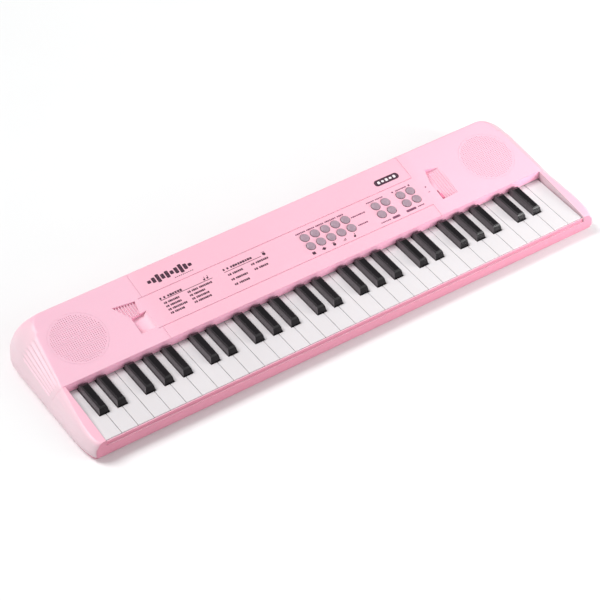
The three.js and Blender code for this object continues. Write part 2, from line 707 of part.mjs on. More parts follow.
place('upper_case', upperCase(), PINK);
place('lower_case', lowerCase(), PINK);
place('battery_cover', batteryCover(), PINK);
place('battery_spring_contact', batterySpring(), STEEL);
place('battery_plate_contact', batteryPlate(), STEEL);

WHITES.forEach(({ note, octave, left }) => {
  place(`key_${octave}_${note}`, whiteKey(left), IVORY);
});

for (let octave = 1; octave <= 5; octave += 1) {
  ['pair', 'trio'].forEach((comb) => {
    const keys = BLACKS.filter((key) => key.octave === octave && key.comb === comb);
    if (keys.length > 0) {
      place(`key_${octave}_black_${comb}`, blackComb(keys), EBONY);
    }
  });
}

BUTTON_GROUPS.forEach((group) => place(group.name, buttonPad(group), SILICONE));
place('button_board', buttonBoard(), BOARD);
place('key_contact_board', keyContactBoard(), BOARD);
place('key_contact_mat', keyContactMat(), MAT);
place('main_board', mainBoard(), BOARD);
place('speaker_left', speaker(-1), SPEAKER_BLACK);
place('speaker_right', speaker(1), SPEAKER_BLACK);
place('speaker_grille_left', grille(-1), PINK);
place('speaker_grille_right', grille(1), PINK);
place('power_switch_knob', powerSwitchKnob(), PINK_DARK);
place('power_socket', socket(POWER_SOCKET_X, 2.8), BLACK_PLASTIC);
place('microphone_jack', socket(MICROPHONE_JACK_X, 1.8), BLACK_PLASTIC);

export default keyboard;
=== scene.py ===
"""Looks of the toy keyboard: finishes, printed marks, fine grilles, screws, floor, light and camera."""

import json
import math

import bmesh
import bpy
from mathutils import Matrix, Vector
from mathutils.geometry import delaunay_2d_cdt

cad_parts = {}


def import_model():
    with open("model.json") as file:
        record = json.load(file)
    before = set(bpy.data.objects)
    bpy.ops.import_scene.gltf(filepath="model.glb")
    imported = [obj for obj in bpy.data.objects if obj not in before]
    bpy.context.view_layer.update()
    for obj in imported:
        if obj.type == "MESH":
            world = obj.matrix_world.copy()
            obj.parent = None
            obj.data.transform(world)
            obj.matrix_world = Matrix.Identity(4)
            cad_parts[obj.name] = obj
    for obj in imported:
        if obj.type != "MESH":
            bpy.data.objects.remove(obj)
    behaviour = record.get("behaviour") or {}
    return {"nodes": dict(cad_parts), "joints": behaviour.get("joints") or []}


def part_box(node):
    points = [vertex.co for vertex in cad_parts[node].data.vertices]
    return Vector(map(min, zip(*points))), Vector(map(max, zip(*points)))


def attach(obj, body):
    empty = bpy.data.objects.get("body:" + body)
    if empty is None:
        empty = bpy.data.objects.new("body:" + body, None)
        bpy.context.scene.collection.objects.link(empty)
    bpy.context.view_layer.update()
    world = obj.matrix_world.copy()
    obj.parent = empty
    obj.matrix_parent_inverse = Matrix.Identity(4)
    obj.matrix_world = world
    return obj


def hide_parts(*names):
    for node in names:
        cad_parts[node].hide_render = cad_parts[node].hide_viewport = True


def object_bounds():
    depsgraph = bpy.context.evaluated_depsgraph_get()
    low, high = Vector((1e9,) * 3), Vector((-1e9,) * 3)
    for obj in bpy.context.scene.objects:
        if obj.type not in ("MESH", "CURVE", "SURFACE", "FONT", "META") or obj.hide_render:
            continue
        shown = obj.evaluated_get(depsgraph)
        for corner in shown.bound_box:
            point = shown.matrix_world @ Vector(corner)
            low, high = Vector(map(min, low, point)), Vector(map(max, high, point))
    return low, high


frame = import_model()
CAD_LOW, CAD_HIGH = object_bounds()
NODES = frame["nodes"]

# Blender works in metres. Sizes are in millimetres here, except the floor's, the lights' and the camera's.
MM = 0.001

# ---------------------------------------------------------------- the sloping panel
# Marks are placed with (x, y) of the panel's flat drawing.
GRILLE_Y = 26.8
PANEL_FOOT_Y = -9.9

PRESS = next(joint for joint in frame["joints"] if joint["name"] == "button_tone_press")
NORMAL = -Vector(PRESS["axis"]).normalized()
UPHILL = NORMAL.cross(Vector((1, 0, 0))).normalized()
GRILLE_LOW, GRILLE_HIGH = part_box("speaker_grille_right")
GRILLE_RADIUS = (GRILLE_HIGH.x - GRILLE_LOW.x) / 2
GRILLE_X = (GRILLE_HIGH.x + GRILLE_LOW.x) / 2 / MM
GRILLE_MIDDLE = Vector((
    0,
    GRILLE_LOW.y + GRILLE_RADIUS * UPHILL.y,
    GRILLE_HIGH.z - GRILLE_RADIUS * UPHILL.z,
))


def on_panel(x, y, lift=0.0):
    """The point of the drawing at (x, y), lifted off the panel."""
    along = Vector((x * MM, 0, 0)) + UPHILL * ((y - GRILLE_Y) * MM)
    return GRILLE_MIDDLE + along + NORMAL * (lift * MM)


PANEL_FOOT = on_panel(0, PANEL_FOOT_Y)
BASE_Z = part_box("battery_cover")[0].z


# ---------------------------------------------------------------- node helpers
def new_node(tree, kind, **values):
    """A node with some of its inputs set; an underscore in a name stands for a space."""
    node = tree.nodes.new(kind)
    for name, value in values.items():
        node.inputs[name.replace("_", " ")].default_value = value
    return node


GRAIN_DEPTH = 0.06


class Shader:
    """A node material with short calls for the few nodes used here."""

    def __init__(self, name):
        self.material = bpy.data.materials.new(name)
        self.material.use_nodes = True
        self.tree = self.material.node_tree
        self.surface = self.tree.nodes["Principled BSDF"]
        self.place = self.tree.nodes.new("ShaderNodeTexCoord").outputs["Object"]

    def plug(self, value, socket):
        if isinstance(value, bpy.types.NodeSocket):
            self.tree.links.new(value, socket)
        else:
            socket.default_value = value

    def set(self, **values):
        for name, value in values.items():
            self.plug(value, self.surface.inputs[name.replace("_", " ")])

    def noise(self, scale, detail, stretch=(1, 1, 1)):
        mapping = new_node(self.tree, "ShaderNodeMapping", Scale=stretch)
        self.plug(self.place, mapping.inputs["Vector"])
        node = new_node(self.tree, "ShaderNodeTexNoise", Scale=scale, Detail=detail)
        self.plug(mapping.outputs[0], node.inputs["Vector"])
        return node.outputs["Fac"]

    def remap(self, value, low, high, out_low=0.0, out_high=1.0):
        """Stretches the range low..high to out_low..out_high, clamped at both ends."""
        node = new_node(
            self.tree, "ShaderNodeMapRange",
            From_Min=low, From_Max=high, To_Min=out_low, To_Max=out_high,
        )
        self.plug(value, node.inputs["Value"])
        return node.outputs["Result"]

    def mix(self, share, a, b):
        node = self.tree.nodes.new("ShaderNodeMix")
        node.data_type = "RGBA"
        self.plug(share, node.inputs[0])
        self.plug(a, node.inputs[6])
        self.plug(b, node.inputs[7])
        return node.outputs[2]

    def math(self, operation, a, b=0.0):
        node = self.tree.nodes.new("ShaderNodeMath")
        node.operation = operation
        self.plug(a, node.inputs[0])
        self.plug(b, node.inputs[1])
        return node.outputs[0]

    def axis(self, name):
        """The place along X, Y or Z, in metres."""
        return self.part(self.place, name)

    def facing(self, name):
        """How much the surface faces X, Y or Z, from -1 to 1."""
        return self.part(self.tree.nodes.new("ShaderNodeNewGeometry").outputs["Normal"], name)

    def part(self, vector, name):
        node = self.tree.nodes.new("ShaderNodeSeparateXYZ")
        self.plug(vector, node.inputs[0])
        return node.outputs[name]

    def finish(self, rough, spread, grain_scale, grain, edge=0.0):
        """Roughness that wanders, a fine moulded grain, and edges that catch the light."""
        self.set(Roughness=self.remap(self.noise(45, 4), 0.3, 0.7, rough - spread, rough + spread))
        bump = new_node(self.tree, "ShaderNodeBump", Strength=grain, Distance=GRAIN_DEPTH * MM)
        self.plug(self.noise(grain_scale, 5), bump.inputs["Height"])
        if edge > 0:
            bevel = new_node(self.tree, "ShaderNodeBevel", Radius=edge * MM)
            bevel.samples = 4
            self.plug(bevel.outputs[0], bump.inputs["Normal"])
        self.set(Normal=bump.outputs[0])
        return self.material


def cloudy(shader, scale, a, b):
    """Two close colours in soft patches."""
    return shader.mix(shader.remap(shader.noise(scale, 4), 0.3, 0.7), a, b)


# ---------------------------------------------------------------- finishes
PINK = (0.81, 0.435, 0.53, 1)
PINK_WARM = (0.83, 0.455, 0.56, 1)
PINK_VIOLET = (0.8, 0.475, 0.585, 1)
# Painted shade: the front rail's deeper pink. Painted light: the fascia's brighter pink.
PINK_FRONT_PAINTED_SHADE = (0.6, 0.22, 0.31, 1)
PINK_FASCIA_PAINTED_LIGHT = (1, 0.48, 0.65, 1)
# Painted light: a paler, washed-out pink for the flanks at the case's ends.
PINK_FLANK_PAINTED_LIGHT = (0.72, 0.54, 0.59, 1)
PINK_SCUFF = (0.97, 0.74, 0.8, 1)
FOOT_GREY = (0.12, 0.11, 0.115, 1)
FOOT_PALE = (0.2, 0.19, 0.19, 1)
WHITE_KEY = (0.65, 0.62, 0.635, 1)
WHITE_KEY_PALE = (0.68, 0.65, 0.665, 1)
WHITE_KEY_HANDLED = (0.62, 0.57, 0.58, 1)
BLACK_KEY = (0.0045, 0.0035, 0.0045, 1)
BLACK_KEY_SOFT = (0.008, 0.006, 0.008, 1)
# Painted reflection: a lighter grey for the black keys' flanks, standing in for the bright surroundings
# mirrored in them.
BLACK_KEY_PAINTED_REFLECTION = (0.1, 0.086, 0.094, 1)
BLACK_KEY_RUBBED = (0.02, 0.017, 0.019, 1)
BUTTON_MAUVE = (0.31, 0.215, 0.265, 1)
BUTTON_PALE = (0.37, 0.26, 0.315, 1)
SOCKET_BLACK = (0.012, 0.012, 0.013, 1)
CONE_BLACK = (0.02, 0.02, 0.021, 1)
SWITCH_PINK = (0.6, 0.16, 0.26, 1)
STEEL_GREY = (0.52, 0.51, 0.5, 1)
STEEL_PALE = (0.68, 0.67, 0.66, 1)
MASK_GREEN = (0.015, 0.12, 0.035, 1)
MASK_DEEP = (0.012, 0.1, 0.03, 1)
TRACK_GREEN = (0.04, 0.22, 0.07, 1)
TIN = (0.62, 0.6, 0.56, 1)
MAT_GREY = (0.26, 0.27, 0.3, 1)
MAT_PALE = (0.33, 0.34, 0.37, 1)
PLUM = (0.045, 0.012, 0.03, 1)
SOFT_PLUM = (0.16, 0.05, 0.1, 1)
PALE_GREY = (0.76, 0.7, 0.72, 1)
PAPER = (0.81, 0.815, 0.815, 1)
PAPER_PALE = (0.825, 0.83, 0.83, 1)

# Where the pink of the case changes tone or takes painted light and shade: how far out from the middle,
# and the rear of the front rail.
SPEAKER_ENDS = 137
VIOLET_FADE = 14
VIOLET_SHARE = 0.8
CASE_ENDS = 241
RAIL_BACK = -60


def pink_plastic():
    """Satin pink moulding: violet on top of the speaker ends, painted shade deepening the front rail,
    painted light lifting the fascia, and paler painted light on the flanks.
    """
    shader = Shader("pink_plastic")
    base = cloudy(shader, 9, PINK, PINK_WARM)
    from_middle = shader.math("ABSOLUTE", shader.axis("X"))
    outer = shader.remap(from_middle, SPEAKER_ENDS * MM, (SPEAKER_ENDS + VIOLET_FADE) * MM)
    raised = shader.math("GREATER_THAN", shader.axis("Z"), PANEL_FOOT.z)
    upward = shader.remap(shader.facing("Z"), 0.9, 0.96, 0, VIOLET_SHARE)
    on_speaker_ends = shader.math("MULTIPLY", outer, raised)
    base = shader.mix(shader.math("MULTIPLY", on_speaker_ends, upward), base, PINK_VIOLET)
    # Painted shade and light: faces turned to the front take a deeper pink on the rail and a brighter pink
    # on the fascia, standing in for how light falls there.
    front_painted_light_and_shade = shader.remap(shader.facing("Y"), -0.35, -0.9)
    on_rail = shader.math("LESS_THAN", shader.axis("Y"), RAIL_BACK * MM)
    base = shader.mix(front_painted_light_and_shade, base, shader.mix(on_rail, PINK_FASCIA_PAINTED_LIGHT, PINK_FRONT_PAINTED_SHADE))
    # Painted light: flanks at the ends of the case that turn sideways take the paler pink.
    flank_painted_light = shader.remap(shader.math("ABSOLUTE", shader.facing("X")), 0.25, 0.8)
    at_end = shader.math("GREATER_THAN", from_middle, CASE_ENDS * MM)
    base = shader.mix(shader.math("MULTIPLY", flank_painted_light, at_end), base, PINK_FLANK_PAINTED_LIGHT)
    scuffs = shader.remap(shader.noise(1300, 2), 0.66, 0.8, 0, 0.15)
    scratches = shader.remap(shader.noise(160, 5, stretch=(1, 9, 1)), 0.68, 0.8, 0, 0.2)
    base = shader.mix(shader.math("MAXIMUM", scuffs, scratches), base, PINK_SCUFF)
    shader.set(
        Base_Color=base, Subsurface_Weight=0.06, Subsurface_Radius=(0.004, 0.0015, 0.002),
        Coat_Weight=0.1, Coat_Roughness=0.3,
    )
    return shader.finish(rough=0.45, spread=0.05, grain_scale=2600, grain=0.35, edge=0.5)


def base_plastic():
    """The pink of the case with a dusting of marks; the feet below the plate are grey rubber."""
    shader = Shader("base_plastic")
    base = cloudy(shader, 12, PINK, PINK_WARM)
    scuffs = shader.remap(shader.noise(240, 5, stretch=(1, 4, 1)), 0.6, 0.8, 0, 0.4)
    base = shader.mix(scuffs, base, PINK_SCUFF)
    below_plate = shader.math("LESS_THAN", shader.axis("Z"), BASE_Z - 0.1 * MM)
    foot_rubber = cloudy(shader, 500, FOOT_GREY, FOOT_PALE)
    shader.set(Base_Color=shader.mix(below_plate, base, foot_rubber))
    return shader.finish(rough=0.5, spread=0.06, grain_scale=1800, grain=0.5, edge=0.3)


def white_key_plastic():
    """Off-white gloss with faint stains along the keys."""
    shader = Shader("white_key_plastic")
    base = cloudy(shader, 14, WHITE_KEY, WHITE_KEY_PALE)
    handled = shader.remap(shader.noise(110, 4, stretch=(1, 0.3, 1)), 0.6, 0.8, 0, 0.25)
    base = shader.mix(handled, base, WHITE_KEY_HANDLED)
    shader.set(
        Base_Color=base, Subsurface_Weight=0.08, Subsurface_Radius=(0.002, 0.0016, 0.0014),
        Coat_Weight=0.2, Coat_Roughness=0.15,
    )
    return shader.finish(rough=0.34, spread=0.06, grain_scale=900, grain=0.12)


def black_key_plastic():
    """Near-black tops and noses over flanks lightened by a painted reflection, rubbed along the keys."""
    shader = Shader("black_key_plastic")
    base = cloudy(shader, 60, BLACK_KEY, BLACK_KEY_SOFT)
    # Painted reflection: faces turned sideways take the lighter grey.
    flank_painted_reflection = shader.remap(shader.math("ABSOLUTE", shader.facing("X")), 0.6, 0.95)
    base = shader.mix(flank_painted_reflection, base, BLACK_KEY_PAINTED_REFLECTION)
    rubbed = shader.remap(shader.noise(260, 5, stretch=(1, 0.15, 1)), 0.6, 0.8, 0, 0.2)
    shader.set(Base_Color=shader.mix(rubbed, base, BLACK_KEY_RUBBED), Specular_IOR_Level=0.2)
    return shader.finish(rough=0.25, spread=0.05, grain_scale=700, grain=0.12)


def button_rubber():
    shader = Shader("button_rubber")
    shader.set(
        Base_Color=cloudy(shader, 220, BUTTON_MAUVE, BUTTON_PALE), Sheen_Weight=0.15,
        Subsurface_Weight=0.12, Subsurface_Radius=(0.002, 0.001, 0.0012),
    )
    return shader.finish(rough=0.5, spread=0.06, grain_scale=1800, grain=0.3)


def plain_plastic(name, colour, rough):
    shader = Shader(name)
    lighter = [part * 1.6 + 0.004 for part in colour[:3]] + [1]
    shader.set(Base_Color=cloudy(shader, 90, colour, lighter))
    return shader.finish(rough, spread=0.06, grain_scale=1500, grain=0.4, edge=0.2)


def steel():
    shader = Shader("bright_steel")
    shader.set(Base_Color=cloudy(shader, 160, STEEL_GREY, STEEL_PALE), Metallic=1.0)
    return shader.finish(rough=0.28, spread=0.06, grain_scale=2200, grain=0.3, edge=0.1)


def circuit_board():
    """Green solder mask over straight tracks, with tinned pads."""
    shader = Shader("circuit_board")
    tracks = new_node(
        shader.tree, "ShaderNodeTexBrick",
        Scale=60, Mortar_Size=0.03, Color1=MASK_GREEN, Color2=MASK_DEEP, Mortar=TRACK_GREEN,
    )
    shader.plug(shader.place, tracks.inputs["Vector"])
    pads = new_node(shader.tree, "ShaderNodeTexVoronoi", Scale=210)
    shader.plug(shader.place, pads.inputs["Vector"])
    pad = shader.remap(pads.outputs["Distance"], 0.12, 0.1)
    shader.set(Base_Color=shader.mix(pad, tracks.outputs["Color"], TIN))
    return shader.finish(rough=0.3, spread=0.05, grain_scale=600, grain=0.2)


def contact_mat():
    shader = Shader("contact_mat")
    shader.set(Base_Color=cloudy(shader, 300, MAT_GREY, MAT_PALE), Sheen_Weight=0.2)
    return shader.finish(rough=0.7, spread=0.08, grain_scale=1400, grain=0.5)


def ink(name, colour):
    """Screen-printed ink, thin enough in places to let a little of the ground through."""
    shader = Shader(name)
    thinner = [part + (ground - part) * 0.25 for part, ground in zip(colour, PINK)]
    worn = shader.remap(shader.noise(700, 4), 0.5, 0.85)
    shader.set(Base_Color=shader.mix(worn, colour, thinner))
    return shader.finish(rough=0.5, spread=0.08, grain_scale=1500, grain=0.2)


def paint(material, *names):
    """Puts the material in the one slot that each CAD node has."""
    for name in names:
        NODES[name].data.materials[0] = material


# ---------------------------------------------------------------- shading of the CAD nodes
def smooth_group(degrees):
    """Smooth shading that keeps every edge sharper than the angle crisp."""
    tree = bpy.data.node_groups.new("smooth_below_angle", "GeometryNodeTree")
    tree.interface.new_socket("Geometry", in_out="INPUT", socket_type="NodeSocketGeometry")
    tree.interface.new_socket("Geometry", in_out="OUTPUT", socket_type="NodeSocketGeometry")
    source = tree.nodes.new("NodeGroupInput")
    sink = tree.nodes.new("NodeGroupOutput")
    faces = tree.nodes.new("GeometryNodeSetShadeSmooth")
    edges = new_node(tree, "GeometryNodeSetShadeSmooth", Shade_Smooth=False)
    edges.domain = "EDGE"
    angle = tree.nodes.new("GeometryNodeInputMeshEdgeAngle")
    sharp = new_node(tree, "FunctionNodeCompare", B=math.radians(degrees))
    sharp.operation = "GREATER_THAN"
    tree.links.new(angle.outputs[0], sharp.inputs["A"])
    tree.links.new(source.outputs[0], faces.inputs["Geometry"])
    tree.links.new(faces.outputs[0], edges.inputs["Geometry"])
    tree.links.new(sharp.outputs[0], edges.inputs["Selection"])
    tree.links.new(edges.outputs[0], sink.inputs[0])
    return tree


CREASE_ANGLE = 32
SMOOTH = smooth_group(CREASE_ANGLE)
WELD_GAP = 0.001


def weld(obj):
    obj.modifiers.new("weld", "WELD").merge_threshold = WELD_GAP * MM


def smooth(obj):
    """Smooth curves next to truly flat faces."""
    obj.modifiers.new("smooth", "NODES").node_group = SMOOTH
    obj.modifiers.new("flat_faces", "WEIGHTED_NORMAL").keep_sharp = True


def round_edges(obj, width):
    """Joins flat triangles into whole faces, then rounds the edges between them."""
    weld(obj)
    flat = obj.modifiers.new("flat_faces", "DECIMATE")
    flat.decimate_type = "DISSOLVE"
    flat.angle_limit = math.radians(0.5)
    bevel = obj.modifiers.new("rounded_edges", "BEVEL")
    bevel.width = width * MM
    bevel.segments = 2
    bevel.limit_method = "ANGLE"
    bevel.angle_limit = math.radians(20)
    smooth(obj)


# ---------------------------------------------------------------- new pieces
def add_object(name, data):
    obj = bpy.data.objects.new(name, data)
    bpy.context.scene.collection.objects.link(obj)
    return obj


def add_mesh(name, bm, material):
    mesh = bpy.data.meshes.new(name)
    bm.normal_update()
    bm.to_mesh(mesh)
    bm.free()
    mesh.materials.append(material)
    return add_object(name, mesh)


def piece(name, bm, material, body):
    """A visible piece with its own material that rides on a body."""
    obj = add_mesh(name, bm, material)
    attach(obj, body)
    return obj


def raise_outline(bm, outline, place, low, high):
    """A closed prism: the flat outline's points, placed at two heights."""
    bottom = [bm.verts.new(place(u, v, low)) for u, v in outline]
    top = [bm.verts.new(place(u, v, high)) for u, v in outline]
    bm.faces.new(top)
    bm.faces.new(bottom[::-1])
    for i in range(len(outline)):
        j = (i + 1) % len(outline)
        bm.faces.new((bottom[i], bottom[j], top[j], top[i]))


def disc(x, y, radius, sides=16):
    turn = 2 * math.pi / sides
    return [(x + radius * math.cos(i * turn), y + radius * math.sin(i * turn)) for i in range(sides)]


CORNER_GAP = 1e-4


def rounded_bar(x, y, width, height, radius, steps=3):
    """Outline of a bar with rounded corners, centred at (x, y); a gap keeps the corners' ends apart."""
    radius = min(radius, width / 2 - CORNER_GAP, height / 2 - CORNER_GAP)
    corners = ((1, 1), (-1, 1), (-1, -1), (1, -1))
    points = []
    for quarter, (side, end) in enumerate(corners):
        for step in range(steps + 1):
            angle = (quarter + step / steps) * math.pi / 2
            points.append((
                x + side * (width / 2 - radius) + radius * math.cos(angle),
                y + end * (height / 2 - radius) + radius * math.sin(angle),
            ))
    return points


def plate_with_holes(rim, holes, place, low, high, is_hole):
    """A flat plate with many small holes, closed all round."""
    points = []
    loops = []
    for loop in [rim, *holes]:
        loops.append(range(len(points), len(points) + len(loop)))
        points.extend(Vector(point) for point in loop)
    edges = [(loop[k], loop[(k + 1) % len(loop)]) for loop in loops for k in range(len(loop))]
    flat, _, faces, *_ = delaunay_2d_cdt(points, edges, [], 1, 1e-7)
    bm = bmesh.new()
    bottom = [bm.verts.new(place(p.x, p.y, low)) for p in flat]
    top = [bm.verts.new(place(p.x, p.y, high)) for p in flat]
    for face in faces:
        middle = sum((flat[i] for i in face), Vector((0, 0))) / len(face)
        if not is_hole(middle):
            bm.faces.new([top[i] for i in face])
            bm.faces.new([bottom[i] for i in reversed(face)])
    for loop in loops:
        for k in range(len(loop)):
            a, b = loop[k], loop[(k + 1) % len(loop)]
            bm.faces.new((bottom[a], bottom[b], top[b], top[a]))
    bmesh.ops.recalc_face_normals(bm, faces=bm.faces)
    return bm


HOLE_STEP = 1.95
HOLE_RADIUS = 0.37
HOLE_SIDES = 8
INSIDE_HOLE = 0.93 * HOLE_RADIUS
SOLID_RIM = 1.8
RIM_SPREAD = 0.22
RIM_SIDES = 72
GRILLE_THICKNESS = 1.2


def fine_grille(name, side, material):
    """The speaker grille: a disc in the panel with a square field of fine holes."""
    middle_x = side * GRILLE_X
    radius = GRILLE_RADIUS / MM
    reach = radius - SOLID_RIM
    count = int(reach / HOLE_STEP)
    steps = range(-count, count + 1)

    def hole_middle(i, j):
        return Vector((middle_x + i * HOLE_STEP, GRILLE_Y + j * HOLE_STEP))

    def in_field(i, j):
        return math.hypot(i, j) * HOLE_STEP < reach

    def is_hole(point):
        i = round((point.x - middle_x) / HOLE_STEP)
        j = round((point.y - GRILLE_Y) / HOLE_STEP)
        return in_field(i, j) and (point - hole_middle(i, j)).length < INSIDE_HOLE

    middles = [hole_middle(i, j) for i in steps for j in steps if in_field(i, j)]
    holes = [disc(p.x, p.y, HOLE_RADIUS, HOLE_SIDES) for p in middles]
    rim = disc(middle_x, GRILLE_Y, radius + RIM_SPREAD, RIM_SIDES)
    bm = plate_with_holes(rim, holes, on_panel, -GRILLE_THICKNESS, 0, is_hole)
    grille = piece(name, bm, material, "case")
    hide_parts(f"speaker_{name}")


# ---------------------------------------------------------------- printing on the panel
# The ink's foot lies under the panel's surface, so that no gap shows.
INK_FOOT = -0.04
INK_TOP = 0.05
LINE_HEIGHT = 0.5
LIST_HEIGHT = 2.2
HEADING_HEIGHT = 2.4
HEADING_PITCH = 2.5

# Shares of a row's pitch and height: a block is narrower or shorter than its neighbours.
BLOCK_WIDTHS = (0.7, 0.86, 0.86)
BLOCK_HEIGHTS = (0.86, 1)
WORD_GAP = 0.55


def printed(name, outlines, material, top=INK_TOP):
    bm = bmesh.new()
    for outline in outlines:
        raise_outline(bm, outline, on_panel, INK_FOOT, top)
    piece(name, bm, material, "case")


def mark_row(x, y, words, height, pitch):
    """A line of print as plain blocks; words gives the number of blocks in each group."""
    outlines = []
    for count in words:
        for i in range(count):
            width = pitch * BLOCK_WIDTHS[i % 3]
            block = rounded_bar(x + pitch / 2, y, width, height * BLOCK_HEIGHTS[i % 2], 0.3)
            outlines.append(block)
            x += pitch
        x += pitch * WORD_GAP
    return outlines


def mark_column(x, y, rows, pitch, row_step):
    """Rows of list print under one another, the first at y."""
    outlines = []
    for i, words in enumerate(rows):
        outlines += mark_row(x, y - row_step * i, words, LIST_HEIGHT, pitch)
    return outlines


def heading(x, y, words):
    return mark_row(x, y, words, HEADING_HEIGHT, HEADING_PITCH)


def line_mark(x0, x1, y):
    return [rounded_bar((x0 + x1) / 2, y, x1 - x0, LINE_HEIGHT, 0.2)]


def note_mark(x, y, size):
    """A round head with a straight stem."""
    head = disc(x - size * 0.25, y - size * 0.3, size * 0.3, 12)
    stem = rounded_bar(x + size * 0.02, y + size * 0.12, size * 0.14, size * 0.85, 0.1)
    return [head, stem]


def drum_mark(x, y, radius, stick_y):
    """A disc under a short stick."""
    return [disc(x, y, radius), rounded_bar(x, stick_y, 3.4, LINE_HEIGHT, 0.2)]


def tone_list():
    """An underlined heading with two notes, over two columns of four rows."""
    title = heading(-133.8, 29.2, (1, 1, 6)) + line_mark(-133.5, -81, 27.3)
    notes = note_mark(-87.6, 30, 3.3) + note_mark(-84.2, 30.4, 3.3)
    left = mark_column(-132.6, 23.6, ((2, 7), (2, 7), (2, 9), (2, 6)), 1.65, 3.85)
    right = mark_column(-108.6, 24, ((2, 4, 8), (2, 7), (2, 8), (2, 8)), 1.65, 3.93)
    return title + notes + left + right


def rhythm_list():
    """An underlined heading with a drum, over columns of three rows and two."""
    title = heading(-69.3, 29.9, (1, 1, 9)) + line_mark(-69, -31, 27.2)
    drum = drum_mark(-27.4, 28.4, 1.6, stick_y=30.6)
    left = mark_column(-67.8, 23.2, ((2, 6), (2, 7), (2, 6)), 1.8, 5.65)
    right = mark_column(-44, 23.4, ((2, 7), (2, 5)), 1.9, 5.7)
    return title + drum + left + right


def button_labels():
    """Small print round the three groups of buttons."""
    over_tones = mark_row(8.2, 32.4, (6, 5, 5, 7, 4), 1.6, 1.755)
    beside_tones = mark_row(63.2, 25.5, (8,), 1.5, 1.92) + mark_row(64.3, 15.3, (6,), 1.5, 1.77)
    over_rhythms = mark_row(84.3, 32.5, (5, 5), 1.3, 1.725)
    over_volume = mark_row(116, 32.3, (8,), 1.3, 1.5)
    volume_dots = [disc(113, 32.3, 0.9, 12), disc(131.1, 32.3, 1.0, 12)]
    under_both = mark_row(84.3, 7.8, (6,), 1.2, 1.78) + mark_row(124.6, 8.1, (4,), 1.3, 1.85)
    return over_tones + beside_tones + over_rhythms + over_volume + volume_dots + under_both


def button_pills():
    """The filled labels under the rhythm and the volume buttons."""
    return [rounded_bar(101, 7.8, 8, 2.4, 0.9), rounded_bar(117.6, 8.1, 10.5, 2.4, 0.9)]


def tone_icons():
    """Five small shapes under the lower row of buttons: square, diamond, drum, bars, note."""
    y = 8.2
    square = [rounded_bar(12.6, y, 3.2, 2.9, 0.3)]
    x = 23.3
    diamond = [[(x + 2.3, y), (x, y + 1.8), (x - 2.3, y), (x, y - 1.8)]]
    drum = drum_mark(34.1, y - 0.3, 1.5, stick_y=y + 1.7)
    bars = [
        rounded_bar(45 + 1.1 * i, y - 0.5 + 0.4 * i, 0.6, 1.8 + 0.8 * i, 0.2)
        for i in (-1, 0, 1)
    ]
    return square + diamond + drum + bars + note_mark(56.3, y, 3.8)


def power_marks():
    """A closed and an open position of the switch."""
    return [disc(143.8, 23.4, 0.8, 12), rounded_bar(143.7, 17.2, 2, 0.6, 0.2)]


WAVE_HEIGHTS = (3.2, 5.7, 8.9, 5.4, 7.5, 3.9, 6.4, 9.3, 6, 3.2)


def wave_emblem():
    """Ten upright bars of a sound wave over a fine dotted line."""
    bars = [rounded_bar(-132 + 4.55 * i, 48.9, 3.5, tall, 0.9) for i, tall in enumerate(WAVE_HEIGHTS)]
    dots = [rounded_bar(-109 + 1.9 * i, 42.6, 1.2, 0.8, 0.3) for i in range(10)]
    return bars + dots


BADGE_X = 116.7
BADGE_Y = 47.1


def badge_marks():
    """Five blocks across the badge, every second one shorter."""
    return [
        rounded_bar(BADGE_X + 4.2 * (i - 2), BADGE_Y, 2.6, 3 - 0.8 * (i % 2), 0.7)
        for i in range(5)
    ]


def add_printing(pale):
    plum = ink("plum_ink", PLUM)
    soft = ink("soft_plum_ink", SOFT_PLUM)
    printed("wave_emblem", wave_emblem(), plum)
    printed("model_badge", [rounded_bar(BADGE_X, BADGE_Y, 26, 6.8, 3.1, 8)], plum)
    printed("model_badge_marks", badge_marks(), pale, INK_TOP * 2)
    printed("tone_list_print", tone_list(), plum)
    printed("rhythm_list_print", rhythm_list(), plum)
    printed("button_label_print", button_labels(), soft)
    printed("button_pill_print", button_pills(), soft)
    printed("tone_icon_print", tone_icons(), plum)
    printed("power_position_print", power_marks(), soft)


# ---------------------------------------------------------------- underside
def below(x, y, lift):
    """A point under the base plate; lift counts downwards from it."""
    return Vector((x * MM, y * MM, BASE_Z - lift * MM))


def raise_down(bm, outline, low, high):
    raise_outline(bm, outline[::-1], below, low, high)


SCREW_PLACES = ((-255, -66), (255, -66), (-238, 45), (238, 45))
SCREW_RADIUS = 2.9
SCREW_RIM = 0.5
SCREW_HEIGHT = 0.9
SLOT_HALF = 0.45
SLOT_ANGLE = 14


def cross_screw(bm, x, y):
    """A flat screw head; four raised quarters leave a cross between them."""
    raise_down(bm, disc(x, y, SCREW_RADIUS, 20), 0, SCREW_RIM)
    reach = SCREW_RADIUS * 0.85
    for side in (-1, 1):
        for end in (-1, 1):
            quarter = [(x + side * SLOT_HALF, y + end * SLOT_HALF)]
            for step in range(5):
                angle = math.radians(SLOT_ANGLE + (90 - 2 * SLOT_ANGLE) * step / 4)
                quarter.append((x + side * reach * math.cos(angle), y + end * reach * math.sin(angle)))
            raise_down(bm, quarter if side == end else quarter[::-1], SCREW_RIM, SCREW_HEIGHT)


def add_underside(steel_finish, label_finish):
    """The four screws of the case and a blank rating plate."""
    for number, (x, y) in enumerate(SCREW_PLACES, 1):
        bm = bmesh.new()
        cross_screw(bm, x, y)
        piece(f"case_screw_{number}", bm, steel_finish, "case")
    bm = bmesh.new()
    raise_down(bm, rounded_bar(-120, 20, width=56, height=30, radius=2.5, steps=5), -0.05, 0.15)
    piece("blank_rating_plate", bm, label_finish, "case")


